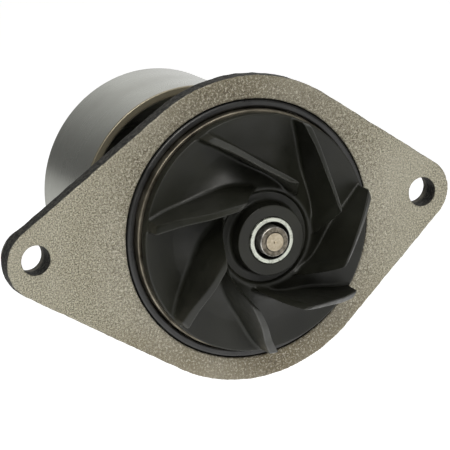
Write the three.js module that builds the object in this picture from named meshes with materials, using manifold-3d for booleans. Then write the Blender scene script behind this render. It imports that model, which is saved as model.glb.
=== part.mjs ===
// Engine coolant pump: flanged housing, bearing shaft, swept-vane impeller and flat-belt pulley.
//
// Millimetres. The origin is on the shaft axis, in the flange's mounting face.
// +Y runs along the shaft towards the pulley, -Y towards the impeller, +X along the ears, +Z up.
// Everything turned is a lathe about Y. Angles in the X-Z plane run from +X towards +Z.

import * as THREE from 'three';
import { mergeVertices } from 'three/addons/utils/BufferGeometryUtils.js';
import Module from 'manifold-3d';

const wasm = await Module();
wasm.setup();

// ---------------------------------------------------------------- driving dimensions

const FINE = 48;                      // lathe segments of large rings
const MEDIUM = 28;                    // lathe segments of the shaft, bearing and seal
const SMALL = 10;                     // segments of balls, rollers and the weep hole
const GAP = 0.3;                      // air kept between pieces that rest on each other
const PRESS = 0.1;                    // air kept between pressed pieces

// flange plate
const FLANGE_RADIUS = 47.4;
const FLANGE_THICKNESS = 6;
const LEFT_EAR = { x: -66.5, z: 0.8, radius: 11.4 };
const RIGHT_EAR = { x: 58.2, z: 2.4, radius: 10.4 };
const BOLT_HOLES = [{ x: -68.6, z: 1.9 }, { x: 59.4, z: 1.9 }];
const BOLT_HOLE_RADIUS = 4.5;
const BOLT_BOSS_RADIUS = 8.8;
const BOLT_BOSS_BACK = 8.5;

// seal groove, spigot ridge and the recess behind the impeller
const GROOVE_RADIUS = 40;
const GROOVE_DEPTH = 2.7;
const RIDGE_OUTER = 37.1;
const RIDGE_INNER = 35.8;
const RIDGE_FRONT = -2;
const RECESS_FLOOR = 2;

// turned middle and the bearing boss behind the flange
const CORE_RADIUS = 43;
const BOSS_RADIUS = 24.6;
const BOSS_FOOT_RADIUS = 33;
const BOSS_BACK = 57;
const RIB_COUNT = 6;
const RIB_WIDTH = 5;
const RIB_REACH = 43;
const RIB_BACK = 24;
const WEEP_RADIUS = 3;
const WEEP_Y = 15.6;

// shaft
const SHAFT_RADIUS = 7.94;
const NOSE_RADIUS = 4.55;
const NOSE_SHOULDER = -2.2;
const NOSE_FRONT = -18.98;
const NOSE_TIP_RADIUS = 2.79;
const NOSE_CHAMFER = 0.4;
const CENTRE_RADIUS = 1;
const CENTRE_DEPTH = 1.2;
const SHAFT_BACK = 76;

// bearing
const RING_OUTER = 19.05;
const RING_INNER = 15.3;
const RING_FRONT = 17;
const RING_BACK = 56;
const RACE_PITCH = 11.62;
const BALL_RADIUS = 4.2;
const BALL_COUNT = 7;
const BALL_Y = 25.5;
const ROLLER_RADIUS = 3.5;
const ROLLER_LENGTH = 12.6;
const ROLLER_COUNT = 8;
const ROLLER_Y = 45;
const CAGE_INNER = 10.2;
const CAGE_OUTER = 13.1;

// coolant face seal
const SEAL_BORE = 18.15;
const CUP_FLANGE_BORE = 20.9;
const CUP_BACK = 14.2;
const CUP_HOLE = 9.2;
const CUP_WALL = 0.8;
const SPRING_RADIUS = 14.9;
const SPRING_WIRE = 0.6;
const SPRING_TURNS = 2.5;
const SPRING_FRONT = 9;
const SPRING_BACK = 12.4;
const BELLOWS = {
  inner: 9.4, sleeve: 10.2, rim: 13, skirt: 13.9, outer: 16.4, foot: 13.2,
  front: 4.2, seat: 7.2, shelf: 8, footFront: 12.2, back: 13,
};
const CARBON = {
  inner: 9.5, noseInner: 10.2, noseOuter: 11.8, outer: 12.7, front: 2.5, step: 3.4, back: 6.9,
};
const MATING_RING = { inner: 9.4, outer: 14.6, front: -1.5, back: 2.2 };
const MATING_BOOT = { inner: 8.1, sleeve: 9.1, outer: 14.8, front: -2.6, step: -1.8, back: 2 };
const SLINGER = { inner: 8.1, sleeve: 9.4, outer: 13.5, front: 14.6, step: 15.2, back: 16 };
const BEARING_SEAL_WIDTH = 1.6;

// impeller
const DISC_RADIUS = 36.5;
const DISC_FRONT = -6.4;
const DISC_BACK = -3.2;
const HUB_RADIUS = 10.83;
const HUB_FACE = -16.3;
const MOAT_RADIUS = 13.8;
const MOAT_FLOOR = -10.8;
const BELL_HEIGHT = 7.8;
const BELL_SPREAD = 9.48;
const BELL_RADIUS = 31;
const BELL_STEPS = 7;
const INSERT_RADIUS = 7.03;
const INSERT_FRONT = -16.83;
const INSERT_MOUTH = 5.66;
const VANE_COUNT = 7;
const VANE_TIP = { radius: 36.2, front: -13.1 };
const VANE_CORNER = { radius: 19.9, front: -28.8 };
const VANE_FOOT = { radius: 15.6, front: -12.5 };
const VANE_PATH = [[15.6, -52], [17.8, -35.5], [20, -22.4], [25, -3.7], [31, 6.3], [36.4, 13.2]];
const VANE_INNER_THICKNESS = 1.7;
const VANE_OUTER_THICKNESS = 2.3;

// pulley
const PULLEY_RADIUS = 37.1;
const PULLEY_INNER = 34.2;
const PULLEY_FRONT = 42.5;
const PULLEY_BACK = 77;
const WEB_FRONT = 69.5;
const WEB_BACK = 73.5;
const PULLEY_HUB_RADIUS = 13.5;
const PULLEY_HUB_FRONT = 58.5;

// ---------------------------------------------------------------- materials

const paint = (color, roughness, metalness) =>
  new THREE.MeshStandardMaterial({ color, roughness, metalness });

const castIron = paint(0xa59e8c, 0.75, 0.6);
const rubber = paint(0x141413, 0.6, 0);
const mouldedPlastic = paint(0x30302b, 0.45, 0);
const turnedSteel = paint(0xb4b4b0, 0.3, 1);
const bearingSteel = paint(0xc4c4c2, 0.2, 1);
const cageNylon = paint(0x6b5a3c, 0.55, 0);
const pressedBrass = paint(0xb08d4a, 0.35, 1);
const springSteel = paint(0x9a9a98, 0.35, 1);
const carbon = paint(0x26262a, 0.4, 0.1);
const ceramic = paint(0xd8d2c4, 0.35, 0);

// ---------------------------------------------------------------- helpers

// The same geometry with shared vertices, no flat triangles, and its faces pointing out.
function closed(geometry) {
  geometry.deleteAttribute('normal');
  geometry.deleteAttribute('uv');
  const merged = mergeVertices(geometry, 1e-4);
  const position = merged.getAttribute('position');
  const index = merged.getIndex().array;
  const corner = [new THREE.Vector3(), new THREE.Vector3(), new THREE.Vector3()];
  const kept = [];
  let volume = 0;
  for (let i = 0; i < index.length; i += 3) {
    const [a, b, c] = index.slice(i, i + 3);
    if (a === b || b === c || c === a) continue;
    corner.forEach((point, k) => point.fromBufferAttribute(position, index[i + k]));
    volume += corner[0].dot(corner[1].clone().cross(corner[2]));
    kept.push(a, b, c);
  }
  merged.setIndex(volume < 0 ? kept.reverse() : kept);
  return merged;
}

function toSolid(geometry) {
  const merged = closed(geometry);
  return new wasm.Manifold(new wasm.Mesh({
    numProp: 3,
    vertProperties: new Float32Array(merged.getAttribute('position').array),
    triVerts: new Uint32Array(merged.getIndex().array),
  }));
}

function toGeometry(solid) {
  const mesh = solid.getMesh();
  const geometry = new THREE.BufferGeometry();
  geometry.setAttribute('position', new THREE.BufferAttribute(mesh.vertProperties, 3));
  geometry.setIndex(Array.from(mesh.triVerts));
  return geometry;
}

// A ring turned about Y. The profile is [radius, y] pairs round its closed section.
function ring(profile, segments = MEDIUM) {
  const points = [...profile, profile[0]].map(([r, y]) => new THREE.Vector2(r, y));
  return new THREE.LatheGeometry(points, segments);
}

// A body turned about Y whose profile starts and ends on the axis.
function turned(profile, segments = MEDIUM) {
  return new THREE.LatheGeometry(profile.map(([r, y]) => new THREE.Vector2(r, y)), segments);
}

function washer(inner, outer, front, back, segments = MEDIUM) {
  return ring([[inner, front], [outer, front], [outer, back], [inner, back]], segments);
}

function disc(radius, front, back, segments = MEDIUM) {
  return turned([[0, front], [radius, front], [radius, back], [0, back]], segments);
}

// A flat shape drawn in X and Z, given thickness along Y from front to back.
function plate(shape, front, back, curveSegments = SMALL) {
  const geometry = new THREE.ExtrudeGeometry(shape, {
    depth: back - front,
    bevelEnabled: false,
    curveSegments,
  });
  return geometry.rotateX(Math.PI / 2).translate(0, back, 0);
}

const radians = THREE.MathUtils.degToRad;

function arcPoints(x, z, radius, start, end, steps) {
  return Array.from({ length: steps + 1 }, (_, i) => {
    const angle = start + ((end - start) * i) / steps;
    return [x + radius * Math.cos(angle), z + radius * Math.sin(angle)];
  });
}

const parts = new THREE.Group();

function add(name, geometry, material) {
  const mesh = new THREE.Mesh(geometry, material);
  mesh.name = name;
  parts.add(mesh);
  return mesh;
}

// ---------------------------------------------------------------- housing

// Direction of the outer tangent from circle a to circle b, both taken anticlockwise.
function tangentNormal(a, b) {
  const along = Math.atan2(b.z - a.z, b.x - a.x);
  const distance = Math.hypot(b.x - a.x, b.z - a.z);
  return along - Math.acos((a.radius - b.radius) / distance);
}

// The flange's outline: straight tangents between the round middle and the two ears.
function flangeShape() {
  const middle = { x: 0, z: 0, radius: FLANGE_RADIUS };
  const loop = [middle, RIGHT_EAR, middle, LEFT_EAR];
  const points = loop.flatMap((circle, i) => {
    const before = loop[(i + 3) % 4];
    const after = loop[(i + 1) % 4];
    const start = tangentNormal(before, circle);
    const end = tangentNormal(circle, after);
    const turn = THREE.MathUtils.euclideanModulo(end - start, 2 * Math.PI);
    return arcPoints(circle.x, circle.z, circle.radius, start, start + turn, SMALL);
  });
  return new THREE.Shape(points.map(([x, z]) => new THREE.Vector2(x, z)));
}

// One gusset from the boss out over the back of the plate.
function rib(angle) {
  const outline = new THREE.Shape([
    new THREE.Vector2(BOSS_RADIUS - 3, FLANGE_THICKNESS - 2),
    new THREE.Vector2(RIB_REACH, FLANGE_THICKNESS - 2),
    new THREE.Vector2(RIB_REACH, FLANGE_THICKNESS + 0.5),
    new THREE.Vector2(BOSS_RADIUS, RIB_BACK),
    new THREE.Vector2(BOSS_RADIUS - 3, RIB_BACK),
  ]);
  const geometry = new THREE.ExtrudeGeometry(outline, { depth: RIB_WIDTH, bevelEnabled: false });
  return geometry.translate(0, 0, -RIB_WIDTH / 2).rotateY(-angle);
}

// The turned middle of the housing: ridge, groove, seal and bearing bores, and boss.
function housingCore() {
  const seatBack = RECESS_FLOOR + 1.3;
  const chamberBack = RING_FRONT - GAP;
  return ring([
    [RIDGE_INNER, RIDGE_FRONT],
    [RIDGE_OUTER, RIDGE_FRONT],
    [RIDGE_OUTER, GROOVE_DEPTH],
    [GROOVE_RADIUS, GROOVE_DEPTH],
    [GROOVE_RADIUS, 0],
    [CORE_RADIUS, 0],
    [CORE_RADIUS, FLANGE_THICKNESS],
    [BOSS_FOOT_RADIUS, FLANGE_THICKNESS],
    [BOSS_FOOT_RADIUS - 4.5, FLANGE_THICKNESS + 3],
    [BOSS_RADIUS + 1, 15],
    [BOSS_RADIUS, 19],
    [BOSS_RADIUS, BOSS_BACK - 1],
    [BOSS_RADIUS - 1, BOSS_BACK],
    [RING_OUTER + PRESS, BOSS_BACK],
    [RING_OUTER + PRESS, chamberBack],
    [SEAL_BORE - 0.7, chamberBack],
    [SEAL_BORE - 0.7, CUP_BACK + 0.4],
    [SEAL_BORE, CUP_BACK + 0.4],
    [SEAL_BORE, seatBack],
    [CUP_FLANGE_BORE, seatBack],
    [CUP_FLANGE_BORE, RECESS_FLOOR],
    [RIDGE_INNER, RECESS_FLOOR],
  ], FINE);
}

function housing() {
  const outline = flangeShape();
  outline.holes.push(new THREE.Path().absarc(0, 0, CORE_RADIUS - 1, 0, 2 * Math.PI));
  let body = toSolid(plate(outline, 0, FLANGE_THICKNESS)).add(toSolid(housingCore()));
  for (let i = 0; i < RIB_COUNT; i += 1) {
    body = body.add(toSolid(rib((i * 2 * Math.PI) / RIB_COUNT)));
  }
  for (const { x, z } of BOLT_HOLES) {
    const boss = disc(BOLT_BOSS_RADIUS, FLANGE_THICKNESS - 2, BOLT_BOSS_BACK, 24);
    const hole = disc(BOLT_HOLE_RADIUS, -1, BOLT_BOSS_BACK + 1, 24);
    body = body.add(toSolid(boss.translate(x, 0, z)));
    body = body.subtract(toSolid(hole.translate(x, 0, z)));
  }
  const weep = new THREE.CylinderGeometry(WEEP_RADIUS, WEEP_RADIUS, 20, SMALL);
  weep.rotateX(Math.PI / 2).translate(0, WEEP_Y, -SEAL_BORE - 5);
  return toGeometry(body.subtract(toSolid(weep)));
}

function flangeSeal() {
  const inner = RIDGE_OUTER + GAP;
  const outer = GROOVE_RADIUS - GAP;
  const back = GROOVE_DEPTH - GAP;
  const front = -0.3;
  const round = 0.7;
  return ring([
    [inner, front + round],
    [inner + round, front],
    [outer - round, front],
    [outer, front + round],
    [outer, back],
    [inner, back],
  ], FINE);
}

// ---------------------------------------------------------------- shaft and bearing

// Points of a groove of circular section, from its front edge to its back edge.
function grooveProfile(pitch, y, radius, edge, side) {
  const half = Math.acos(Math.abs(edge - pitch) / radius);
  const steps = 6;
  return Array.from({ length: steps + 1 }, (_, i) => {
    const angle = -half + (2 * half * i) / steps;
    return [pitch + side * radius * Math.cos(angle), y + radius * Math.sin(angle)];
  });
}

function shaft() {
  const race = BALL_RADIUS + 0.25;
  return turned([
    [0, NOSE_FRONT + CENTRE_DEPTH / 2],
    [CENTRE_RADIUS / 2, NOSE_FRONT],
    [NOSE_TIP_RADIUS, NOSE_FRONT],
    [NOSE_RADIUS, NOSE_FRONT + NOSE_CHAMFER],
    [NOSE_RADIUS, NOSE_SHOULDER],
    [SHAFT_RADIUS - 0.5, NOSE_SHOULDER],
    [SHAFT_RADIUS, NOSE_SHOULDER + 0.5],
    ...grooveProfile(RACE_PITCH, BALL_Y, race, SHAFT_RADIUS, -1),
    [SHAFT_RADIUS, SHAFT_BACK - 1],
    [SHAFT_RADIUS - 1, SHAFT_BACK],
    [CENTRE_RADIUS, SHAFT_BACK],
    [0, SHAFT_BACK - CENTRE_DEPTH],
  ]);
}

function bearingOuterRing() {
  const race = BALL_RADIUS + 0.25;
  return ring([
    [RING_INNER, RING_FRONT],
    [RING_OUTER - 0.8, RING_FRONT],
    [RING_OUTER, RING_FRONT + 0.8],
    [RING_OUTER, RING_BACK - 0.8],
    [RING_OUTER - 0.8, RING_BACK],
    [RING_INNER, RING_BACK],
    ...grooveProfile(RACE_PITCH, BALL_Y, race, RING_INNER, 1).reverse(),
  ]);
}

function around(count, index) {
  const angle = (2 * Math.PI * index) / count;
  return [RACE_PITCH * Math.cos(angle), RACE_PITCH * Math.sin(angle)];
}

// A cage ring with a radial pocket for each rolling element.
function cage(y, half, count, pocket) {
  let body = toSolid(washer(CAGE_INNER, CAGE_OUTER, y - half, y + half));
  for (let i = 0; i < count; i += 1) {
    const angle = (2 * Math.PI * i) / count;
    const cut = pocket().translate(RACE_PITCH, y, 0).rotateY(-angle);
    body = body.subtract(toSolid(cut));
  }
  return toGeometry(body);
}

function ballCage() {
  const half = BALL_RADIUS + 1.2;
  const radius = BALL_RADIUS + GAP;
  const pocket = () => new THREE.CylinderGeometry(radius, radius, 8, 12).rotateZ(Math.PI / 2);
  return cage(BALL_Y, half, BALL_COUNT, pocket);
}

function rollerCage() {
  const length = ROLLER_LENGTH + 2 * GAP;
  const width = 2 * (ROLLER_RADIUS + GAP);
  const pocket = () => new THREE.BoxGeometry(8, length, width);
  return cage(ROLLER_Y, length / 2 + 1.4, ROLLER_COUNT, pocket);
}

function roller() {
  const half = ROLLER_LENGTH / 2;
  const edge = 0.4;
  return turned([
    [0, ROLLER_Y - half],
    [ROLLER_RADIUS - edge, ROLLER_Y - half],
    [ROLLER_RADIUS, ROLLER_Y - half + edge],
    [ROLLER_RADIUS, ROLLER_Y + half - edge],
    [ROLLER_RADIUS - edge, ROLLER_Y + half],
    [0, ROLLER_Y + half],
  ], SMALL);
}

function bearingSeal(front) {
  return washer(SHAFT_RADIUS + GAP, RING_INNER - GAP, front, front + BEARING_SEAL_WIDTH);
}

// ---------------------------------------------------------------- coolant face seal

function sealCup() {
  const outer = SEAL_BORE - PRESS;
  const front = RECESS_FLOOR + 0.2;
  return ring([
    [outer - CUP_WALL, front],
    [CUP_FLANGE_BORE - GAP, front],
    [CUP_FLANGE_BORE - GAP, front + CUP_WALL],
    [outer, front + CUP_WALL],
    [outer, CUP_BACK],
    [CUP_HOLE, CUP_BACK],
    [CUP_HOLE, CUP_BACK - CUP_WALL],
    [outer - CUP_WALL, CUP_BACK - CUP_WALL],
  ]);
}

function sealBellows() {
  const { inner, sleeve, rim, skirt, outer, foot } = BELLOWS;
  const { front, seat, shelf, footFront, back } = BELLOWS;
  return ring([
    [inner, seat],
    [rim, seat],
    [rim, front],
    [skirt, front],
    [skirt, seat],
    [outer, seat],
    [outer, shelf],
    [sleeve, shelf],
    [sleeve, footFront],
    [foot, footFront],
    [foot, back],
    [inner, back],
  ]);
}

function sealCarbon() {
  const { inner, noseInner, noseOuter, outer, front, step, back } = CARBON;
  return ring([
    [noseInner, front],
    [noseOuter, front],
    [noseOuter, step],
    [outer, step],
    [outer, back],
    [inner, back],
    [inner, step],
    [noseInner, step],
  ]);
}

function matingRing() {
  const { inner, outer, front, back } = MATING_RING;
  return washer(inner, outer, front, back);
}

// An L-shaped sleeve on the shaft whose flange faces the impeller.
function matingBoot() {
  const { inner, sleeve, outer, front, step, back } = MATING_BOOT;
  return ring([
    [inner, front],
    [outer, front],
    [outer, step],
    [sleeve, step],
    [sleeve, back],
    [inner, back],
  ]);
}

// An L-shaped sleeve on the shaft whose flange throws leaked coolant to the weep hole.
function slinger() {
  const { inner, sleeve, outer, front, step, back } = SLINGER;
  return ring([
    [inner, front],
    [sleeve, front],
    [sleeve, step],
    [outer, step],
    [outer, back],
    [inner, back],
  ]);
}

class Helix extends THREE.Curve {
  getPoint(t, target = new THREE.Vector3()) {
    const angle = t * SPRING_TURNS * 2 * Math.PI;
    const y = SPRING_FRONT + t * (SPRING_BACK - SPRING_FRONT);
    return target.set(SPRING_RADIUS * Math.cos(angle), y, SPRING_RADIUS * Math.sin(angle));
  }
}

function sealSpring() {
  const wire = new THREE.Shape().absarc(0, 0, SPRING_WIRE, 0, 2 * Math.PI);
  return new THREE.ExtrudeGeometry(wire, {
    steps: Math.round(SPRING_TURNS * 16),
    curveSegments: 3,
    extrudePath: new Helix(),
  });
}

// ---------------------------------------------------------------- impeller

// Plan outline of the vane at angle zero: a spline centre line with thickness.
function vaneShape() {
  const centre = VANE_PATH.map(([r, degrees]) => {
    const angle = radians(degrees);
    return new THREE.Vector2(r * Math.cos(angle), r * Math.sin(angle));
  });
  const curve = new THREE.SplineCurve(centre);
  const steps = 7;
  const left = [];
  const right = [];
  for (let i = 0; i <= steps; i += 1) {
    const t = i / steps;
    const half = THREE.MathUtils.lerp(VANE_INNER_THICKNESS, VANE_OUTER_THICKNESS, t) / 2;
    const point = curve.getPoint(t);
    const tangent = curve.getTangent(t);
    left.push(new THREE.Vector2(point.x - tangent.y * half, point.y + tangent.x * half));
    right.unshift(new THREE.Vector2(point.x + tangent.y * half, point.y - tangent.x * half));
  }
  return new THREE.Shape([...left, ...right]);
}

function impeller() {
  // a bell swells from the disc up to a narrow moat round the hub
  const bell = Array.from({ length: BELL_STEPS + 1 }, (_, i) => {
    const r = THREE.MathUtils.lerp(MOAT_RADIUS, BELL_RADIUS, i / BELL_STEPS);
    return [r, DISC_FRONT - BELL_HEIGHT * Math.exp(-(((r - HUB_RADIUS) / BELL_SPREAD) ** 2))];
  });
  let body = toSolid(ring([
    [INSERT_RADIUS + PRESS, HUB_FACE],
    [HUB_RADIUS, HUB_FACE],
    [HUB_RADIUS, MOAT_FLOOR],
    [MOAT_RADIUS, MOAT_FLOOR],
    ...bell,
    [DISC_RADIUS - 0.3, DISC_FRONT],
    [DISC_RADIUS, DISC_FRONT + 0.3],
    [DISC_RADIUS, DISC_BACK],
    [INSERT_RADIUS + PRESS, DISC_BACK],
  ], FINE));
  // every vane is trimmed by one turned envelope: foot, raked inlet edge, front cone and tip
  const envelope = toSolid(ring([
    [VANE_FOOT.radius, DISC_BACK - 1],
    [VANE_FOOT.radius, VANE_FOOT.front],
    [VANE_CORNER.radius, VANE_CORNER.front],
    [VANE_TIP.radius, VANE_TIP.front],
    [VANE_TIP.radius, DISC_BACK - 1],
  ], FINE));
  for (let i = 0; i < VANE_COUNT; i += 1) {
    const vane = plate(vaneShape(), VANE_CORNER.front - 2, DISC_BACK - 0.5);
    const placed = toSolid(vane.rotateY((-i * 2 * Math.PI) / VANE_COUNT));
    body = body.add(placed.intersect(envelope));
  }
  return toGeometry(body);
}

function impellerInsert() {
  const bore = NOSE_RADIUS + PRESS;
  const back = NOSE_SHOULDER - GAP;
  return ring([
    [bore, INSERT_FRONT + 1.6],
    [INSERT_MOUTH, INSERT_FRONT],
    [INSERT_RADIUS - 0.2, INSERT_FRONT],
    [INSERT_RADIUS, INSERT_FRONT + 0.2],
    [INSERT_RADIUS, back],
    [bore, back],
  ]);
}

// ---------------------------------------------------------------- pulley

function pulley() {
  const edge = 0.8;
  return ring([
    [SHAFT_RADIUS + PRESS, PULLEY_HUB_FRONT],
    [PULLEY_HUB_RADIUS - edge, PULLEY_HUB_FRONT],
    [PULLEY_HUB_RADIUS, PULLEY_HUB_FRONT + edge],
    [PULLEY_HUB_RADIUS, WEB_FRONT - 1.5],
    [PULLEY_HUB_RADIUS + 1.5, WEB_FRONT],
    [PULLEY_INNER - 1.5, WEB_FRONT],
    [PULLEY_INNER, WEB_FRONT - 1.5],
    [PULLEY_INNER, PULLEY_FRONT],
    [PULLEY_RADIUS - edge, PULLEY_FRONT],
    [PULLEY_RADIUS, PULLEY_FRONT + edge],
    [PULLEY_RADIUS, PULLEY_BACK - edge],
    [PULLEY_RADIUS - edge, PULLEY_BACK],
    [PULLEY_INNER - 0.5, PULLEY_BACK],
    [PULLEY_INNER - 1.5, WEB_BACK],
    [PULLEY_HUB_RADIUS + 1, WEB_BACK],
    [PULLEY_HUB_RADIUS, SHAFT_BACK - 0.5],
    [SHAFT_RADIUS + PRESS, SHAFT_BACK - 0.5],
  ], FINE);
}

// ---------------------------------------------------------------- assembly

add('housing', housing(), castIron);
add('flange_seal', flangeSeal(), rubber);
add('bearing_outer_ring', bearingOuterRing(), bearingSteel);
add('bearing_seal_front', bearingSeal(RING_FRONT + GAP), rubber);
add('bearing_seal_rear', bearingSeal(RING_BACK - GAP - BEARING_SEAL_WIDTH), rubber);
add('seal_cup', sealCup(), pressedBrass);
add('seal_bellows', sealBellows(), rubber);
add('seal_spring', sealSpring(), springSteel);
add('seal_carbon', sealCarbon(), carbon);

add('shaft', shaft(), turnedSteel);
add('pulley', pulley(), turnedSteel);
add('impeller', impeller(), mouldedPlastic);
add('impeller_insert', impellerInsert(), turnedSteel);
add('mating_ring', matingRing(), ceramic);
add('mating_boot', matingBoot(), rubber);
add('slinger', slinger(), pressedBrass);

add('ball_cage', ballCage(), cageNylon);
for (let i = 0; i < BALL_COUNT; i += 1) {
  const [x, z] = around(BALL_COUNT, i);
  const ball = new THREE.SphereGeometry(BALL_RADIUS, 14, 9);
  add(`ball_${i + 1}`, ball, bearingSteel).position.set(x, BALL_Y, z);
}

add('roller_cage', rollerCage(), cageNylon);
for (let i = 0; i < ROLLER_COUNT; i += 1) {
  const [x, z] = around(ROLLER_COUNT, i);
  add(`roller_${i + 1}`, roller(), bearingSteel).position.set(x, 0, z);
}

for (const mesh of parts.children) {
  if (mesh.geometry.hasAttribute('uv')) mesh.geometry = closed(mesh.geometry);
  mesh.geometry.computeVertexNormals();
}

export default parts;
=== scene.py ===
"""Looks of the engine coolant pump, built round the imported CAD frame.

The frame's axes: origin on the shaft axis in the flange's mounting face, +Y along the shaft
towards the pulley, +X along the ears, +Z up. Shapes are worked out in millimetres and stored
in metres. The two cast or moulded pieces, housing and impeller, are signed distance fields
meshed with OpenVDB, so that their fillets and soft edges are real geometry. Everything turned
is a lathe whose profile has a fillet at each corner.
"""

import math

import bpy
import numpy as np
import openvdb
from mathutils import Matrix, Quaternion, Vector


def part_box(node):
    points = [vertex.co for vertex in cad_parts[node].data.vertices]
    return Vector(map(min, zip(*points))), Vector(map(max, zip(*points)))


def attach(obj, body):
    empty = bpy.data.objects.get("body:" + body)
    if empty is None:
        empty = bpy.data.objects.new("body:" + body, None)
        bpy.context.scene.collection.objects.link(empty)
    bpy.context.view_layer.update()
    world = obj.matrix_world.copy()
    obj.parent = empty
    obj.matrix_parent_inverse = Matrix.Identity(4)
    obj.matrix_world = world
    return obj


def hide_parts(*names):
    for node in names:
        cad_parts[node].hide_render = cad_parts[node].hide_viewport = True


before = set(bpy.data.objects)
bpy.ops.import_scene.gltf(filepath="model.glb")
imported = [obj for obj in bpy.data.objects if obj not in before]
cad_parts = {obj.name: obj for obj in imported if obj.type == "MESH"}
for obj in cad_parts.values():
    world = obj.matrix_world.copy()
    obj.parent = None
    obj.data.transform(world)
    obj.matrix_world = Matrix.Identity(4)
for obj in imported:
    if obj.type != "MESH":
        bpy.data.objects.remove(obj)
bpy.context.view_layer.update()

MM = 0.001


def node_box(name):
    """Lowest and highest corner of a CAD node, in millimetres."""
    low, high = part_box(name)
    return np.array(low) / MM, np.array(high) / MM


# ---------------------------------------------------------------- sizes, in millimetres

housing_low, housing_high = node_box("housing")
impeller_low, impeller_high = node_box("impeller")
pulley_low, pulley_high = node_box("pulley")
shaft_low, shaft_high = node_box("shaft")
insert_low, insert_high = node_box("impeller_insert")
seal_low, seal_high = node_box("flange_seal")

# flange
FLANGE_RADIUS = min(-housing_low[2], housing_high[2])
FLANGE_THICKNESS = 6.0
LEFT_EAR_RADIUS = 11.4
RIGHT_EAR_RADIUS = 10.4
LEFT_EAR = (housing_low[0] + LEFT_EAR_RADIUS, 0.8)
RIGHT_EAR = (housing_high[0] - RIGHT_EAR_RADIUS, 2.4)
BOLT_HOLES = ((-68.6, 1.9), (59.4, 1.9))
BOLT_HOLE_RADIUS = 4.5
BOLT_BOSS_RADIUS = 8.8
BOLT_BOSS_BACK = 8.5
BOLT_BOSS_EDGE = 2.2
BOLT_BOSS_FILLET = 1.5
HOLE_EDGE = 0.5
FACE_EDGE = 0.35
OUTLINE_EDGE = 0.8
GROOVE_RADIUS = 40.0
GROOVE_DEPTH = 2.7
GROOVE_EDGE = 0.45
RIDGE_OUTER = 37.1
RIDGE_INNER = 35.8
RIDGE_FRONT = housing_low[1]
RECESS_FLOOR = 2.0

# bearing boss, ribs and weep hole
BOSS_RADIUS = 24.6
BOSS_BACK = housing_high[1]
BOSS_EDGE = 1.0
BOSS_FILLET = 7.0
BORE_RADIUS = 19.15
SEAL_BORE = 18.15
RIB_COUNT = 6
RIB_WIDTH = 5.0
RIB_REACH = 43.0
RIB_BACK = 24.0
RIB_EDGE = 1.6
RIB_FILLET = 2.5
WEEP_RADIUS = 3.0
WEEP_Y = 15.6
WEEP_EDGE = 0.6
CAST_LUMP = 0.13
CAST_RAGGED = 0.09

# impeller
DISC_RADIUS = impeller_high[0]
DISC_FRONT = -6.4
DISC_BACK = impeller_high[1]
DISC_EDGE = 0.35
DISH_DEPTH = 0.5
DISH_WIDTH = 9.0
HUB_RADIUS = 10.83
HUB_FACE = -16.3
HUB_EDGE = 0.3
HUB_FILLET = 1.2
MOAT_RADIUS = 13.8
MOAT_FLOOR = -10.8
MOAT_EDGE = 2.2
BELL_HEIGHT = 7.8
BELL_SPREAD = 9.48
VANE_COUNT = 7
VANE_TIP = (36.2, -13.1)
VANE_CORNER = (19.9, impeller_low[1])
VANE_FOOT = (15.6, -12.5)
VANE_PATH = ((15.6, -52.0), (17.8, -35.5), (20.0, -22.4), (25.0, -3.7), (31.0, 6.3), (36.4, 13.2))
VANE_INNER_THICKNESS = 1.7
VANE_OUTER_THICKNESS = 2.3
VANE_DRAFT = 0.02
VANE_EDGE = 0.45
VANE_FILLET = 1.1
VANE_CORNER_EDGE = 0.7
VANE_TIP_EDGE = 0.8

# shaft, bush and pulley
INSERT_RADIUS = insert_high[0]
INSERT_FRONT = insert_low[1]
INSERT_MOUTH = 5.66
NOSE_RADIUS = 4.55
NOSE_TIP_RADIUS = 2.79
NOSE_CHAMFER = 0.4
NOSE_FRONT = shaft_low[1]
SHAFT_RADIUS = shaft_high[0]
SHAFT_BACK = shaft_high[1]
PULLEY_RADIUS = pulley_high[0]
PULLEY_INNER = 34.2
PULLEY_FRONT = pulley_low[1]
PULLEY_BACK = pulley_high[1]
PULLEY_HUB_RADIUS = 13.5
PULLEY_HUB_FRONT = 58.5
WEB_FRONT = 69.5
WEB_BACK = 73.5
PRESS_GAP = 0.1

# meshing: spacing of the sample points, and the share of triangles that is kept
HOUSING_VOXEL = 0.45
IMPELLER_VOXEL = 0.3
KEPT_TRIANGLES = 0.35


# ---------------------------------------------------------------- lathes

LATHE_SEGMENTS = 160
SMALL_SEGMENTS = 96
FINE_SEGMENTS = 200
FILLET_STEPS = 5


def filleted(profile):
    """Points and outward normals round a closed profile of (radius, y, fillet) corners.

    The profile runs anticlockwise in the (radius, y) plane, so its outside is on the right.
    """
    corners = [np.array(c[:2], float) for c in profile]
    points, normals = [], []
    for i, corner in enumerate(corners):
        arriving = corner - corners[i - 1]
        leaving = corners[(i + 1) % len(corners)] - corner
        reach = min(np.linalg.norm(arriving), np.linalg.norm(leaving)) * 0.49
        arriving /= np.linalg.norm(arriving)
        leaving /= np.linalg.norm(leaving)
        turn = math.atan2(
            arriving[0] * leaving[1] - arriving[1] * leaving[0], float(arriving @ leaving)
        )
        first = np.array((arriving[1], -arriving[0]))
        last = np.array((leaving[1], -leaving[0]))
        radius = profile[i][2]
        cut = min(radius * abs(math.tan(turn / 2)), reach)
        if cut < 1e-3:
            points += [corner, corner]
            normals += [first, last]
            continue
        radius = cut / abs(math.tan(turn / 2))
        centre = corner - arriving * cut - first * math.copysign(radius, turn)
        for step in range(FILLET_STEPS + 1):
            angle = turn * step / FILLET_STEPS
            spin = np.array(
                ((math.cos(angle), -math.sin(angle)), (math.sin(angle), math.cos(angle)))
            )
            normal = spin @ first
            points.append(centre + normal * math.copysign(radius, turn))
            normals.append(normal)
    return np.array(points), np.array(normals)


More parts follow.
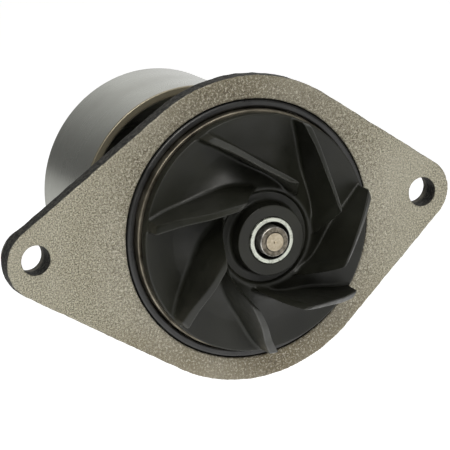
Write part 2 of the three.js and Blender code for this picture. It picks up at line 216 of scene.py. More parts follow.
def mesh_object(name, vertices_mm, faces, normals):
    """A smooth mesh object from vertices in millimetres and one normal for each vertex."""
    mesh = bpy.data.meshes.new(name)
    mesh.from_pydata((np.asarray(vertices_mm) * MM).tolist(), [], faces)
    mesh.shade_smooth()
    mesh.normals_split_custom_set_from_vertices(np.asarray(normals).tolist())
    piece = bpy.data.objects.new(name, mesh)
    bpy.context.scene.collection.objects.link(piece)
    return piece


def lathe(name, profile, segments=LATHE_SEGMENTS):
    """A closed ring turned about Y from a profile of (radius, y, fillet) corners."""
    section, section_normals = filleted(profile)
    count = len(section)
    vertices, normals, faces = [], [], []
    for s in range(segments):
        angle = 2 * math.pi * s / segments
        around = np.array((math.cos(angle), math.sin(angle)))
        for (r, y), (nr, ny) in zip(section, section_normals):
            vertices.append((r * around[0], y, r * around[1]))
            normals.append((nr * around[0], ny, nr * around[1]))
        for p in range(count):
            a = s * count + p
            b = s * count + (p + 1) % count
            c = (s + 1) % segments * count + (p + 1) % count
            d = (s + 1) % segments * count + p
            faces.append((a, b, c, d))
    return mesh_object(name, vertices, faces, normals)


# ---------------------------------------------------------------- signed distance fields

def round_and(a, b, radius):
    """Common part of two fields, with its edge rounded."""
    outside = np.hypot(np.maximum(a + radius, 0), np.maximum(b + radius, 0))
    return np.minimum(np.maximum(a, b), -radius) + outside


def round_or(a, b, radius):
    """Union of two fields, with a fillet in the corner between them."""
    inside = np.hypot(np.maximum(radius - a, 0), np.maximum(radius - b, 0))
    return np.maximum(np.minimum(a, b), radius) - inside


def round_cut(a, b, radius):
    """The first field without the second, with the edge between them rounded."""
    return round_and(a, -b, radius)


class Grid:
    """Sample points of a box, in millimetres, as arrays that broadcast along X, Y and Z."""

    def __init__(self, low, high, voxel):
        self.voxel = voxel
        self.low = np.asarray(low, float) - 3 * voxel
        count = np.ceil((np.asarray(high) + 3 * voxel - self.low) / voxel).astype(int) + 1
        axes = [self.low[i] + voxel * np.arange(count[i]) for i in range(3)]
        self.x = axes[0].astype(np.float32)[:, None, None]
        self.y = axes[1].astype(np.float32)[None, :, None]
        self.z = axes[2].astype(np.float32)[None, None, :]
        self.r = np.hypot(self.x, self.z)

    def mesh(self, name, field, keep):
        """Surface of the field where it is zero, thinned to keep of its triangles."""
        volume = openvdb.FloatGrid()
        volume.background = 3 * self.voxel
        limit = 3 * self.voxel
        volume.copyFromArray(np.ascontiguousarray(np.clip(field, -limit, limit), np.float32))
        points, quads = volume.convertToQuads()
        mesh = bpy.data.meshes.new(name)
        mesh.from_pydata((points * self.voxel + self.low).tolist(), [], quads.tolist())
        piece = bpy.data.objects.new(name, mesh)
        bpy.context.scene.collection.objects.link(piece)
        thin = piece.modifiers.new("thin", "DECIMATE")
        thin.ratio = keep
        graph = bpy.context.evaluated_depsgraph_get()
        thinned = bpy.data.meshes.new_from_object(piece.evaluated_get(graph))
        piece.modifiers.clear()
        piece.data = thinned
        bpy.data.meshes.remove(mesh)
        thinned.name = name
        corners = np.zeros(len(thinned.vertices) * 3, np.float32)
        thinned.vertices.foreach_get("co", corners)
        corners = corners.reshape(-1, 3)
        thinned.shade_smooth()
        normals = self.slope(field, corners)
        thinned.normals_split_custom_set_from_vertices(normals.tolist())
        thinned.vertices.foreach_set("co", (corners * MM).ravel())
        thinned.update()
        return piece

    def slope(self, field, points):
        """Unit gradient of the field at points in millimetres, the surface normal there."""
        def value(p):
            place = (p - self.low) / self.voxel
            cell = np.clip(np.floor(place).astype(int), 0, np.array(field.shape) - 2)
            t = place - cell
            total = np.zeros(len(p))
            for corner in np.ndindex(2, 2, 2):
                weight = np.prod(np.where(corner, t, 1 - t), axis=1)
                i, j, k = (cell + corner).T
                total += weight * field[i, j, k]
            return total

        reach = 0.6 * self.voxel
        columns = [value(points + reach * e) - value(points - reach * e) for e in np.eye(3)]
        normals = np.stack(columns, axis=1)
        return normals / np.maximum(np.linalg.norm(normals, axis=1, keepdims=True), 1e-9)


def tapered_capsule(x, z, start, start_radius, end, end_radius):
    """Distance to the hull of two circles in the X-Z plane."""
    along = np.array(end) - np.array(start)
    length = np.linalg.norm(along)
    along = along / length
    u = (x - start[0]) * along[0] + (z - start[1]) * along[1]
    v = np.abs((z - start[1]) * along[0] - (x - start[0]) * along[1])
    lean = (start_radius - end_radius) / length
    slope = math.sqrt(1 - lean * lean)
    place = u * slope - v * lean
    side = v * slope + u * lean - start_radius
    return np.where(
        place < 0,
        np.hypot(u, v) - start_radius,
        np.where(place > slope * length, np.hypot(u - length, v) - end_radius, side),
    )


def line_side(r, y, start, end):
    """Distance from the line through two (radius, y) points, positive on its left."""
    along = np.array(end, float) - np.array(start, float)
    along /= np.linalg.norm(along)
    return (y - start[1]) * along[0] - (r - start[0]) * along[1]


def value_noise(grid, size, seed):
    """Smooth noise from -1 to 1 whose lumps are size millimetres across."""
    shape = [int(math.ceil(len(a.ravel()) * grid.voxel / size)) + 2 for a in (grid.x, grid.y, grid.z)]
    lumps = np.random.default_rng(seed).uniform(-1, 1, shape).astype(np.float32)
    for axis, samples in enumerate((grid.x, grid.y, grid.z)):
        place = (samples.ravel() - samples.ravel()[0]) / size
        cell = np.floor(place).astype(int)
        t = place - cell
        t = (t * t * (3 - 2 * t)).astype(np.float32)
        t = t.reshape([-1 if i == axis else 1 for i in range(3)])
        lumps = lumps.take(cell, axis) * (1 - t) + lumps.take(cell + 1, axis) * t
    return lumps


# ---------------------------------------------------------------- housing

def rib_field(grid, angle):
    """One gusset: a slab as wide as the rib under a line sloping from boss to plate."""
    u = grid.x * math.cos(angle) + grid.z * math.sin(angle)
    v = grid.z * math.cos(angle) - grid.x * math.sin(angle)
    slope = line_side(u, grid.y, (BOSS_RADIUS, RIB_BACK), (RIB_REACH, FLANGE_THICKNESS + 0.5))
    rib = round_and(np.abs(v) - RIB_WIDTH / 2, slope, RIB_EDGE)
    return np.maximum(rib, np.maximum(BOSS_RADIUS - 4 - u, u - RIB_REACH))


def casting_field(grid):
    """The housing as it is cast: plate, boss, ribs and bolt bosses within the outline."""
    x, y, z, r = grid.x, grid.y, grid.z, grid.r
    outline = np.minimum(
        tapered_capsule(x, z, (0, 0), FLANGE_RADIUS, LEFT_EAR, LEFT_EAR_RADIUS),
        tapered_capsule(x, z, (0, 0), FLANGE_RADIUS, RIGHT_EAR, RIGHT_EAR_RADIUS),
    )
    lumps = CAST_LUMP * (value_noise(grid, 1.6, 3) + value_noise(grid, 4.0, 4) + 2)
    rough = np.clip(y / 1.5, 0, 1) * lumps
    ragged = CAST_RAGGED * (value_noise(grid, 1.3, 5) + value_noise(grid, 2.6, 6) + 1.6)
    field = y - FLANGE_THICKNESS + rough
    for hole_x, hole_z in BOLT_HOLES:
        away = np.hypot(x - hole_x, z - hole_z)
        bolt_boss = round_and(away - BOLT_BOSS_RADIUS, y - BOLT_BOSS_BACK, BOLT_BOSS_EDGE)
        field = round_or(field, bolt_boss, BOLT_BOSS_FILLET)
    boss = round_and(r - BOSS_RADIUS + rough, y - BOSS_BACK, BOSS_EDGE)
    field = round_or(field, boss, BOSS_FILLET)
    for i in range(RIB_COUNT):
        rib = rib_field(grid, 2 * math.pi * i / RIB_COUNT) + rough
        field = round_or(field, rib, RIB_FILLET)
    return round_and(field, outline + np.maximum(ragged, 0), OUTLINE_EDGE)


def build_housing():
    """The casting with its flat face, bearing bore, bolt holes, weep hole and room for the spigot."""
    grid = Grid(housing_low, housing_high, HOUSING_VOXEL)
    x, y, z, r = grid.x, grid.y, grid.z, grid.r
    field = round_and(casting_field(grid), -y, FACE_EDGE)
    field = round_cut(field, np.maximum(r - GROOVE_RADIUS, y - GROOVE_DEPTH - 0.1), GROOVE_EDGE)
    field = round_cut(field, r - BORE_RADIUS, HOLE_EDGE)
    for hole_x, hole_z in BOLT_HOLES:
        field = round_cut(field, np.hypot(x - hole_x, z - hole_z) - BOLT_HOLE_RADIUS, HOLE_EDGE)
    weep = np.maximum(np.hypot(x, y - WEEP_Y) - WEEP_RADIUS, z + SEAL_BORE - 5)
    field = round_cut(field, weep, WEEP_EDGE)
    return grid.mesh("housing_casting", field, KEPT_TRIANGLES)


def build_spigot():
    """The machined middle of the housing: ridge, recess floor and groove floor."""
    back = GROOVE_DEPTH + 1.8
    return lathe("housing_spigot", (
        (BORE_RADIUS + 1.5, RECESS_FLOOR, 0.3),
        (RIDGE_INNER, RECESS_FLOOR, 0.5),
        (RIDGE_INNER, RIDGE_FRONT, 0.35),
        (RIDGE_OUTER, RIDGE_FRONT, 0.45),
        (RIDGE_OUTER, GROOVE_DEPTH, 0.3),
        (GROOVE_RADIUS + 0.6, GROOVE_DEPTH, 0),
        (GROOVE_RADIUS + 0.6, back, 0),
        (BORE_RADIUS + 1.5, back, 0),
    ))


def build_flange_seal():
    """The rubber ring, crowned where it meets the block."""
    inner, outer = RIDGE_OUTER + 0.35, seal_high[0]
    crown = 0.75
    return lathe("flange_seal_ring", (
        (inner, seal_low[1], crown),
        (outer, seal_low[1], crown),
        (outer, seal_high[1], 0.5),
        (inner, seal_high[1], 0.5),
    ))


# ---------------------------------------------------------------- impeller

def vane_centre_line(steps=12):
    """Catmull-Rom points along the vane's path, with their share of its length."""
    radii, degrees = np.array(VANE_PATH).T
    corners = np.stack([radii * np.cos(np.radians(degrees)), radii * np.sin(np.radians(degrees))], 1)
    padded = np.concatenate([corners[:1], corners, corners[-1:]])
    points = []
    for i in range(len(corners) - 1):
        before, start, end, after = padded[i : i + 4]
        for t in np.arange(steps) / steps:
            slope_in, slope_out = (end - before) / 2, (after - start) / 2
            points.append(
                (2 * t**3 - 3 * t**2 + 1) * start + (t**3 - 2 * t**2 + t) * slope_in
                + (3 * t**2 - 2 * t**3) * end + (t**3 - t**2) * slope_out
            )
    points.append(corners[-1])
    return np.array(points), np.linspace(0, 1, len(points))


def vane_plan(x, z):
    """Distance from the nearest vane's centre line, less half its thickness, in plan."""
    line, share = vane_centre_line()
    nearest = np.full(np.broadcast(x, z).shape, 1e3, np.float32)
    for vane in range(VANE_COUNT):
        angle = 2 * math.pi * vane / VANE_COUNT
        px = x * math.cos(angle) + z * math.sin(angle)
        pz = z * math.cos(angle) - x * math.sin(angle)
        for start, end, s0, s1 in zip(line[:-1], line[1:], share[:-1], share[1:]):
            along = end - start
            t = ((px - start[0]) * along[0] + (pz - start[1]) * along[1]) / (along @ along)
            t = np.clip(t, 0, 1)
            away = np.hypot(px - start[0] - t * along[0], pz - start[1] - t * along[1])
            place = s0 + (s1 - s0) * t
            half = (VANE_INNER_THICKNESS * (1 - place) + VANE_OUTER_THICKNESS * place) / 2
            nearest = np.minimum(nearest, away - half)
    return nearest


def build_impeller():
    """Disc, bell, hub and vanes of the moulding, with the hole for its bush."""
    grid = Grid(impeller_low, impeller_high, IMPELLER_VOXEL)
    y, r = grid.y, grid.r
    dish = DISH_DEPTH * np.clip((DISC_RADIUS - r) / DISH_WIDTH, 0, 1)
    bell = BELL_HEIGHT * np.exp(-(((np.maximum(r, HUB_RADIUS) - HUB_RADIUS) / BELL_SPREAD) ** 2))
    front = (DISC_FRONT + dish - bell - y) * 0.9
    front = round_cut(front, np.maximum(r - MOAT_RADIUS, y - MOAT_FLOOR), MOAT_EDGE)
    disc = round_and(r - DISC_RADIUS, np.maximum(front, y - DISC_BACK), DISC_EDGE)
    hub = round_and(r - HUB_RADIUS, HUB_FACE - y, HUB_EDGE)
    field = round_or(disc, np.maximum(hub, y - DISC_BACK), HUB_FILLET)
    field = np.maximum(field, y - DISC_BACK)
    plan = vane_plan(grid.x, grid.z) - VANE_DRAFT * (y - HUB_FACE)
    front = line_side(r, y, VANE_TIP, VANE_CORNER)
    inlet = line_side(r, y, VANE_CORNER, VANE_FOOT)
    edge = round_and(front, inlet, VANE_CORNER_EDGE)
    edge = round_and(edge, r - VANE_TIP[0], VANE_TIP_EDGE)
    edge = np.maximum(edge, np.maximum(VANE_FOOT[0] - r, y - DISC_BACK + 0.5))
    vanes = round_and(plan, edge, VANE_EDGE)
    field = round_or(field, vanes, VANE_FILLET)
    field = round_cut(field, r - INSERT_RADIUS - 0.05, 0.2)
    field = np.maximum(field, r - DISC_RADIUS)
    return grid.mesh("impeller_moulding", field, KEPT_TRIANGLES)


def build_insert():
    """The bush, counterbored at its mouth."""
    back = insert_high[1]
    return lathe("impeller_bush", (
        (NOSE_RADIUS + PRESS_GAP, back, 0),
        (NOSE_RADIUS + PRESS_GAP, INSERT_FRONT + 4.4, 0.2),
        (INSERT_MOUTH, INSERT_FRONT + 3.4, 0.3),
        (INSERT_MOUTH, INSERT_FRONT, 0.2),
        (INSERT_RADIUS, INSERT_FRONT, 0.3),
        (INSERT_RADIUS, back, 0),
    )[::-1], SMALL_SEGMENTS)


# ---------------------------------------------------------------- shaft and pulley

AXIS = 0.02  # a hair's breadth, so that a turned solid needs no pole


def build_shaft():
    """The shaft, with its stepped nose, worn front edge and centre-drilled ends."""
    shoulder = insert_high[1] + 0.3
    return lathe("shaft_turned", (
        (AXIS, NOSE_FRONT + 0.25, 0),
        (0.5, NOSE_FRONT, 0.15),
        (NOSE_TIP_RADIUS, NOSE_FRONT, 0.12),
        (NOSE_TIP_RADIUS + 0.25, NOSE_FRONT + NOSE_CHAMFER, 0.1),
        (NOSE_RADIUS - 0.45, NOSE_FRONT + NOSE_CHAMFER, 0.05),
        (NOSE_RADIUS - 0.25, NOSE_FRONT + NOSE_CHAMFER - 0.1, 0.05),
        (NOSE_RADIUS, NOSE_FRONT + NOSE_CHAMFER + 0.1, 0.1),
        (NOSE_RADIUS, shoulder, 0.3),
        (SHAFT_RADIUS, shoulder, 0.5),
        (SHAFT_RADIUS, SHAFT_BACK, 0.8),
        (1.0, SHAFT_BACK, 0.15),
        (AXIS, SHAFT_BACK - 1.2, 0),
    ), SMALL_SEGMENTS)


def build_pulley():
    """The belt drum, its web and its hub on the shaft."""
    return lathe("pulley_turned", (
        (SHAFT_RADIUS + PRESS_GAP, PULLEY_HUB_FRONT, 0.4),
        (PULLEY_HUB_RADIUS, PULLEY_HUB_FRONT, 0.8),
        (PULLEY_HUB_RADIUS, WEB_FRONT, 2.0),
        (PULLEY_INNER, WEB_FRONT, 2.5),
        (PULLEY_INNER, PULLEY_FRONT, 1.5),
        (PULLEY_RADIUS, PULLEY_FRONT, 0.5),
        (PULLEY_RADIUS, PULLEY_BACK, 0.9),
        (PULLEY_INNER - 0.5, PULLEY_BACK, 0.5),
        (PULLEY_INNER - 1.5, WEB_BACK, 1.0),
        (PULLEY_HUB_RADIUS + 1.0, WEB_BACK, 0.8),
        (PULLEY_HUB_RADIUS, SHAFT_BACK - 0.5, 0.5),
        (SHAFT_RADIUS + PRESS_GAP, SHAFT_BACK - 0.5, 0.3),
    ), FINE_SEGMENTS)


# ---------------------------------------------------------------- materials

class Surface:
    """A procedural material whose nodes are added one call at a time."""

    def __init__(self, name, color, roughness, metallic=0.0):
        self.material = bpy.data.materials.new(name)
        self.material.use_nodes = True
        self.tree = self.material.node_tree
        self.shader = self.tree.nodes["Principled BSDF"]
        self.coordinates = self.tree.nodes.new("ShaderNodeTexCoord").outputs["Object"]
        self.set(self.shader, "Base Color", (*color, 1))
        self.set(self.shader, "Roughness", roughness)
        self.set(self.shader, "Metallic", metallic)

    def set(self, node, socket, value):
        """Gives a socket a constant, or links it if the value is another node's output."""
        if isinstance(value, bpy.types.NodeSocket):
            self.tree.links.new(value, node.inputs[socket])
        else:
            node.inputs[socket].default_value = value

    def node(self, kind, inputs, output=0, operation=None):
        """Adds a node, gives its sockets the inputs by name or number, and returns one output."""
        node = self.tree.nodes.new(kind)
        if operation:
            node.operation = operation
        for socket, value in inputs.items():
            self.set(node, socket, value)
        return node.outputs[output]

    def stretched(self, scale):
        """Object coordinates multiplied along each axis."""
        return self.node("ShaderNodeMapping", {"Vector": self.coordinates, "Scale": scale})

    def noise(self, scale, detail=3.0, roughness=0.5, vector=None):
        return self.node("ShaderNodeTexNoise", {
            "Vector": vector or self.coordinates,
            "Scale": scale,
            "Detail": detail,
            "Roughness": roughness,
        })

    def math(self, operation, a, b=0.0):
        return self.node("ShaderNodeMath", {0: a, 1: b}, operation=operation)

    def remap(self, value, low, high, to_low=0.0, to_high=1.0):
        """Maps low to to_low and high to to_high, and holds the ends beyond them."""
        return self.node("ShaderNodeMapRange", {
            "Value": value,
            "From Min": low,
            "From Max": high,
            "To Min": to_low,
            "To Max": to_high,
        })

    def mix(self, factor, a, b):
        """The colour a where the factor is 0, and b where it is 1."""
        node = self.tree.nodes.new("ShaderNodeMix")
        node.data_type = "RGBA"
        self.set(node, 0, factor)
        for socket, value in ((6, a), (7, b)):
            self.set(node, socket, value if isinstance(value, bpy.types.NodeSocket) else (*value, 1))
        return node.outputs[2]

    def bump(self, height, strength, distance_mm, under=None):
        node = self.tree.nodes.new("ShaderNodeBump")
        self.set(node, "Height", height)
        self.set(node, "Strength", strength)
        self.set(node, "Distance", distance_mm * MM)
        if under is not None:
            self.set(node, "Normal", under)
        return node.outputs[0]

    def link(self, socket, value):
        self.set(self.shader, socket, value)


def axis_of(surface, axis):
    """One of the object coordinates, in metres."""
    inputs = {"Vector": surface.coordinates}
    return surface.node("ShaderNodeSeparateXYZ", inputs, output="XYZ".index(axis))


def radius_of(surface):
    """Distance from the shaft's axis, in metres."""
    across = surface.stretched((1, 0, 1))
    return surface.node("ShaderNodeVectorMath", {0: across}, output=1, operation="LENGTH")


def turning_marks(surface):
    """Fine noise that runs round the axis, as a lathe tool leaves it."""
    place = surface.node("ShaderNodeCombineXYZ", {"X": radius_of(surface), "Y": axis_of(surface, "Y")})
    return surface.noise(5200, 2, 0.7, place)


IRON_BLASTED = ((0.096, 0.088, 0.060), (0.40, 0.374, 0.282))
IRON_RAW = ((0.005, 0.005, 0.004), (0.052, 0.050, 0.043))
IRON_BACK = ((0.055, 0.052, 0.043), (0.17, 0.16, 0.13))
IRON_BRIGHT_GRAIN = (0.62, 0.60, 0.52)
IRON_SPARK = (0.62, 0.59, 0.50)
# painted shade colour for the narrow rim of the face
IRON_PAINTED_RIM_SHADE = (0.112, 0.093, 0.056)
# painted shade colour for the lower part of the face
IRON_PAINTED_LOW_SHADE = (0.135, 0.105, 0.055)
IRON_FLECK = (0.075, 0.058, 0.036)
IRON_PALE_CLOUD = (0.40, 0.385, 0.32)


def iron_face(s, speckle):
    """The blasted front face: grains, painted shade on the narrow rim and towards the bottom, and
    flecks near the seal.
    """
    grit = s.noise(3000, 2, 0.6)
    mottle = s.noise(110, 5, 0.7)
    face = s.mix(s.remap(speckle, 0.40, 0.62), *IRON_BLASTED)
    face = s.mix(s.remap(grit, 0.56, 0.68, 0.0, 0.8), face, IRON_BRIGHT_GRAIN)

    # painted shade: the narrow rim over and under the impeller is darker than the ears
    across = s.math("ABSOLUTE", axis_of(s, "X"))
    rim = s.remap(s.math("ADD", across, s.math("MULTIPLY", mottle, 0.03)), 0.060, 0.036)
    face = s.mix(s.math("MULTIPLY", rim, 0.62), face, IRON_PAINTED_RIM_SHADE)
    # painted shade: the face darkens towards the bottom
    painted_low_shade = s.remap(axis_of(s, "Z"), -0.020, -0.036, 0.0, 0.5)
    face = s.mix(painted_low_shade, face, IRON_PAINTED_LOW_SHADE)

    near_seal = s.remap(radius_of(s), 0.056, 0.043)
    flecks = s.remap(s.noise(800, 4, 0.9), 0.50, 0.55)
    flecks = s.math("MULTIPLY", flecks, s.math("MULTIPLY", near_seal, s.remap(mottle, 0.36, 0.54)))
    face = s.mix(s.math("MULTIPLY", flecks, 0.85), face, IRON_FLECK)
    sparks = s.math("MULTIPLY", near_seal, s.remap(s.noise(1300, 4, 0.85), 0.53, 0.58))
    face = s.mix(s.math("MULTIPLY", sparks, 0.6), face, IRON_SPARK)
    clouds = s.remap(s.noise(30, 3, 0.5), 0.42, 0.68, 0.0, 0.30)
    return s.mix(clouds, face, IRON_PALE_CLOUD)


def iron_rest(s):
    """The raw casting: nearly black along the flange's edge, dark grey from there to the back."""
    edge = s.mix(s.remap(s.noise(950, 4, 0.8), 0.44, 0.60), *IRON_RAW)
    back = s.mix(s.remap(s.noise(500, 4, 0.7), 0.38, 0.66), *IRON_BACK)
    return s.mix(s.remap(axis_of(s, "Y"), 0.0050, 0.0062), edge, back)


def cast_iron():
    """Blasted beige grey on the front face, dark raw casting on the edge and back."""
    s = Surface("cast_iron", (0.30, 0.27, 0.21), 0.62, 0.2)
    front = s.remap(axis_of(s, "Y"), 0.00045, 0.00020)
    speckle = s.noise(2000, 3, 0.7)
    s.link("Base Color", s.mix(front, iron_rest(s), iron_face(s, speckle)))
    s.link("Roughness", s.remap(front, 0.0, 1.0, 0.8, 0.6))
    s.link("Specular IOR Level", 0.3)
    pits = s.bump(s.noise(900, 4, 0.7), 0.8, 0.20)
    s.link("Normal", s.bump(speckle, 0.6, 0.09, pits))
    return s.material


def machined_iron():
    """Turned iron of the spigot, with faint rings and rust-dark clouds."""
    s = Surface("machined_iron", (0.20, 0.18, 0.14), 0.38, 0.8)
    rings = s.noise(1.0, 3, 0.6, s.stretched((90, 5200, 90)))
    clouds = s.remap(s.noise(160, 4), 0.35, 0.7)
    s.link("Base Color", s.mix(clouds, (0.07, 0.06, 0.045), (0.27, 0.245, 0.19)))
    s.link("Normal", s.bump(rings, 0.25, 0.03))
    return s.material


# painted reflection: a warm tan, less metallic tint on the pulley rim's front face
RIM_PAINTED_REFLECTION = (0.24, 0.215, 0.155)
RIM_REFLECTION_METALLIC = 0.55


def turned_steel(name, color, roughness, tint, rim):
    """Steel with fine turning marks, faint stains and a painted reflection: a warmer, less metallic
    face in front of rim.
    """
    s = Surface(name, color, roughness, 1.0)
    marks = turning_marks(s)
    stain = s.noise(55, 5, 0.65)
    # painted reflection on the face in front of rim
    beyond_rim_face = s.remap(axis_of(s, "Y"), (rim + 0.25) * MM, (rim + 0.7) * MM)
    clean = s.mix(s.remap(stain, 0.45, 0.75, 0.0, 0.45), color, tint)
    s.link("Base Color", s.mix(beyond_rim_face, RIM_PAINTED_REFLECTION, clean))
    s.link("Metallic", s.remap(beyond_rim_face, 0.0, 1.0, RIM_REFLECTION_METALLIC, 1.0))
    streaks = s.remap(marks, 0.3, 0.7, -0.05, 0.06)
    dulled = s.remap(stain, 0.3, 0.7, roughness, roughness + 0.08)
    s.link("Roughness", s.math("ADD", streaks, dulled))
    s.link("Normal", s.bump(marks, 0.22, 0.012))
    return s.material


def shaft_steel():
    """Brownish turned steel: a tan tip, a darker ring round it and a bright worn edge."""
    s = Surface("shaft_steel", (0.30, 0.26, 0.20), 0.40, 0.9)
    radius = radius_of(s)
    marks = turning_marks(s)
    grime = s.noise(900, 4, 0.7)
    ring = s.mix(s.remap(grime, 0.40, 0.62), (0.075, 0.066, 0.050), (0.21, 0.185, 0.150))
    tip = s.mix(s.remap(grime, 0.40, 0.62), (0.34, 0.29, 0.21), (0.47, 0.41, 0.31))
    flat = s.remap(radius, (NOSE_TIP_RADIUS + 0.05) * MM, (NOSE_TIP_RADIUS - 0.1) * MM)
    edge = s.remap(radius, (NOSE_RADIUS - 0.32) * MM, (NOSE_RADIUS - 0.22) * MM)
    edge = s.math("MULTIPLY", edge, s.remap(grime, 0.35, 0.60, 0.2, 1.0))
    nose = s.mix(edge, s.mix(flat, ring, tip), (0.62, 0.60, 0.56))
    s.link("Base Color", s.mix(s.remap(axis_of(s, "Y"), 0.0, 0.001), nose, (0.42, 0.41, 0.39)))
    s.link("Roughness", s.remap(marks, 0.3, 0.7, 0.36, 0.50))
    s.link("Normal", s.bump(marks, 0.3, 0.02))
    return s.material


def bush_steel():
    """Pale sintered steel with a nicked outer edge, its bore painted near black as shade."""
    s = Surface("insert_steel", (0.55, 0.57, 0.51), 0.45, 0.5)
    radius = radius_of(s)
    nicks = s.noise(620, 4, 0.75)
    # painted shade: the counterbore and bore are painted near black
    inside = s.remap(radius, (INSERT_MOUTH + 0.3) * MM, (INSERT_MOUTH + 0.1) * MM)
    bitten = s.math("ADD", radius, s.math("MULTIPLY", nicks, 0.9 * MM))
    bitten = s.remap(bitten, (INSERT_RADIUS + 0.38) * MM, (INSERT_RADIUS + 0.48) * MM)
    worn = s.mix(s.remap(nicks, 0.50, 0.68), (0.56, 0.585, 0.52), (0.33, 0.34, 0.29))
    worn = s.mix(bitten, worn, (0.09, 0.09, 0.075))
    s.link("Base Color", s.mix(inside, worn, (0.02, 0.019, 0.017)))
    s.link("Normal", s.bump(nicks, 0.6, 0.10))
    return s.material


def moulded_plastic():
    """Charcoal glass-filled plastic with a satin, slightly fibrous skin."""
    s = Surface("impeller_plastic", (0.012, 0.012, 0.010), 0.42)
    s.link("Specular IOR Level", 0.32)
    fibre = s.noise(900, 3, 0.65)
    clouds = s.remap(s.noise(60, 4, 0.6), 0.3, 0.75)
    s.link("Base Color", s.mix(clouds, (0.0072, 0.0074, 0.0052), (0.0165, 0.0170, 0.0115)))
    s.link("Roughness", s.remap(s.noise(240, 3), 0.3, 0.7, 0.34, 0.50))
    s.link("Normal", s.bump(fibre, 0.18, 0.03))
    return s.material


def black_rubber():
    """Moulded rubber with a soft, uneven sheen."""
    s = Surface("black_rubber", (0.010, 0.010, 0.010), 0.42)
    clouds = s.remap(s.noise(150, 3), 0.4, 0.7)
    s.link("Base Color", s.mix(clouds, (0.007, 0.007, 0.007), (0.018, 0.018, 0.017)))
    s.link("Roughness", s.remap(s.noise(400, 3), 0.3, 0.7, 0.26, 0.40))
    s.link("Normal", s.bump(s.noise(1100, 2), 0.15, 0.02))
    return s.material


def plain_metal(name, color, roughness):
    """Polished metal of an inner piece."""
    s = Surface(name, color, roughness, 1.0)
    s.link("Roughness", s.remap(s.noise(300, 3), 0.3, 0.7, roughness - 0.05, roughness + 0.08))
    s.link("Normal", s.bump(s.noise(1500, 2), 0.1, 0.01))
    return s.material


def plain_matter(name, dark, light, roughness):
    """Ceramic, carbon or nylon of an inner piece, clouded from dark to light."""
    s = Surface(name, light, roughness)
    s.link("Base Color", s.mix(s.remap(s.noise(200, 3), 0.35, 0.7), dark, light))
    s.link("Normal", s.bump(s.noise(900, 3), 0.15, 0.02))
    return s.material


PULLEY_STEEL = turned_steel(
    "turned_steel", (0.28, 0.284, 0.252), 0.25, (0.23, 0.225, 0.20), PULLEY_FRONT
)
RUBBER = black_rubber()
BEARING_STEEL = plain_metal("bearing_steel", (0.60, 0.60, 0.60), 0.18)
BRASS = plain_metal("pressed_brass", (0.62, 0.45, 0.18), 0.30)
SPRING_STEEL = plain_metal("spring_steel", (0.45, 0.45, 0.44), 0.28)
CARBON = plain_matter("carbon", (0.018, 0.018, 0.020), (0.036, 0.036, 0.040), 0.35)
CERAMIC = plain_matter("ceramic", (0.60, 0.56, 0.48), (0.72, 0.69, 0.62), 0.25)
NYLON = plain_matter("cage_nylon", (0.16, 0.11, 0.05), (0.24, 0.18, 0.10), 0.5)

NODE_MATERIALS = {
    "bearing_outer_ring": BEARING_STEEL,
    "bearing_seal_front": RUBBER,
    "bearing_seal_rear": RUBBER,
    "seal_cup": BRASS,
    "seal_bellows": RUBBER,
    "seal_spring": SPRING_STEEL,
    "seal_carbon": CARBON,
    "mating_ring": CERAMIC,
    "mating_boot": RUBBER,
    "slinger": BRASS,
    "ball_cage": NYLON,
    "roller_cage": NYLON,
}
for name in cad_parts:
    if name.startswith(("ball_", "roller_")):
        NODE_MATERIALS.setdefault(name, BEARING_STEEL)
for name, material in NODE_MATERIALS.items():
    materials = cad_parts[name].data.materials
    materials.clear()
    materials.append(material)


# ---------------------------------------------------------------- pieces on their bodies

def place(piece, body, slot, material, *nodes):
    """Gives a piece its material and body, and hides the CAD nodes that it stands for. The slot is not
    used.
    """
    piece.data.materials.append(material)
    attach(piece, body)
    if nodes:
        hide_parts(*nodes)


place(build_housing(), "housing", "cast_iron", cast_iron(), "housing")
place(build_spigot(), "housing", "cast_iron", machined_iron())
place(build_flange_seal(), "housing", "rubber", RUBBER, "flange_seal")
place(build_impeller(), "rotor", "impeller_plastic", moulded_plastic(), "impeller")
place(build_insert(), "rotor", "insert_steel", bush_steel(), "impeller_insert")
place(build_shaft(), "rotor", "turned_steel", shaft_steel(), "shaft")
place(build_pulley(), "rotor", "turned_steel", PULLEY_STEEL, "pulley")


# ---------------------------------------------------------------- floor, light and camera

FLOOR_DROP = 0.30
FLOOR_SIZE = 16.0
FLOOR_GLOW = 0.55
ROOM_LIGHT = 0.07
BACKDROP_FADES = (("Y", -0.3, 0.5, 1.0), ("X", -0.50, 0.15, 1.1))  # axis, low, high, strength
WHITE = (1, 1, 1)
WARM = (1.0, 0.985, 0.94)
CAMERA_AZIMUTH = -23.075
CAMERA_ELEVATION = 14.566
CAMERA_ROLL = -4.009
CAMERA_DISTANCE = 0.9285
CAMERA_AIM = (-0.00633, 0.00317, 0.00168)
CAMERA_LENS = 245.5
SENSOR_WIDTH = 36


def build_floor():
    """A plain pale floor that glows a little, so that it stays white under the object."""
    mesh = bpy.data.meshes.new("floor")
    half = FLOOR_SIZE / 2
    square = ((-half, -half), (half, -half), (half, half), (-half, half))
    corners = [(x, y, -FLOOR_DROP) for x, y in square]
    mesh.from_pydata(corners, [], [(0, 1, 2, 3)])
    floor = bpy.data.objects.new("floor", mesh)
    bpy.context.scene.collection.objects.link(floor)
    surface = Surface("floor_white", (0.95, 0.95, 0.95), 0.9)
    surface.link("Emission Color", (*WHITE, 1))
    surface.link("Emission Strength", FLOOR_GLOW)
    mesh.materials.append(surface.material)


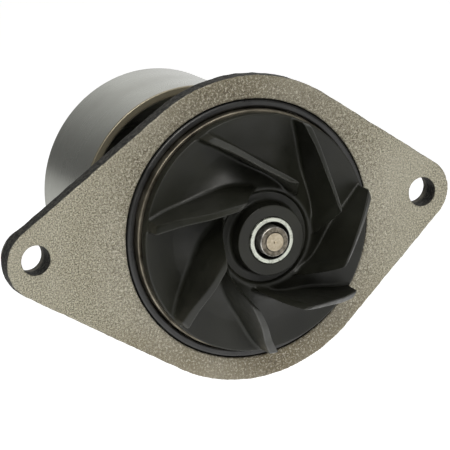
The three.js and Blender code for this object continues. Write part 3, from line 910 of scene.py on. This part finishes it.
def direction(azimuth, elevation):
    """Unit vector from the object towards a place at that azimuth and elevation, in degrees."""
    a, e = math.radians(azimuth), math.radians(elevation)
    return Vector((math.sin(a) * math.cos(e), -math.cos(a) * math.cos(e), math.sin(e)))


def softbox(name, azimuth, elevation, distance, size, power, color=WHITE):
    """A rectangular light that faces the object from that direction."""
    data = bpy.data.lights.new(name, "AREA")
    data.shape = "RECTANGLE"
    data.size, data.size_y = size
    data.energy = power
    data.color = color
    lamp = bpy.data.objects.new(name, data)
    bpy.context.scene.collection.objects.link(lamp)
    towards = direction(azimuth, elevation)
    lamp.location = towards * distance
    lamp.rotation_mode = "QUATERNION"
    lamp.rotation_quaternion = towards.to_track_quat("Z", "Y")


def build_world():
    """A white backdrop high up behind the object, fading to a dim room low down and in front."""
    world = bpy.data.worlds.new("studio")
    world.use_nodes = True
    tree = world.node_tree
    place = tree.nodes.new("ShaderNodeTexCoord")
    split = tree.nodes.new("ShaderNodeSeparateXYZ")
    tree.links.new(place.outputs["Generated"], split.inputs[0])
    bright = tree.nodes.new("ShaderNodeMath")
    bright.operation = "MULTIPLY_ADD"
    bright.inputs[2].default_value = ROOM_LIGHT
    for i, (axis, low, high, strength) in enumerate(BACKDROP_FADES):
        fade = tree.nodes.new("ShaderNodeMapRange")
        fade.inputs["From Min"].default_value = low
        fade.inputs["From Max"].default_value = high
        fade.inputs["To Max"].default_value = strength
        tree.links.new(split.outputs[axis], fade.inputs["Value"])
        tree.links.new(fade.outputs["Result"], bright.inputs[i])
    background = tree.nodes["Background"]
    tree.links.new(bright.outputs[0], background.inputs["Strength"])
    background.inputs["Color"].default_value = (*WHITE, 1)
    bpy.context.scene.world = world


def build_camera():
    """A long lens at the viewing angle, rolled a little about its own axis."""
    data = bpy.data.cameras.new("camera")
    data.lens = CAMERA_LENS
    data.sensor_width = SENSOR_WIDTH
    data.clip_start, data.clip_end = 0.01, 50
    camera = bpy.data.objects.new("camera", data)
    bpy.context.scene.collection.objects.link(camera)
    back = direction(CAMERA_AZIMUTH, CAMERA_ELEVATION)
    camera.location = Vector(CAMERA_AIM) + back * CAMERA_DISTANCE
    camera.rotation_mode = "QUATERNION"
    roll = Quaternion((0, 0, 1), math.radians(CAMERA_ROLL))
    camera.rotation_quaternion = (-back).to_track_quat("-Z", "Y") @ roll
    bpy.context.scene.camera = camera


build_floor()
build_world()
softbox("key", azimuth=-14, elevation=38, distance=1.4, size=(0.8, 0.7), power=12.0, color=WARM)
softbox("fill", azimuth=30, elevation=15, distance=1.8, size=(0.8, 0.8), power=2.5, color=WARM)
softbox("top", azimuth=0, elevation=85, distance=1.6, size=(1.4, 1.4), power=10)
build_camera()
bpy.context.scene.view_settings.view_transform = "Standard"
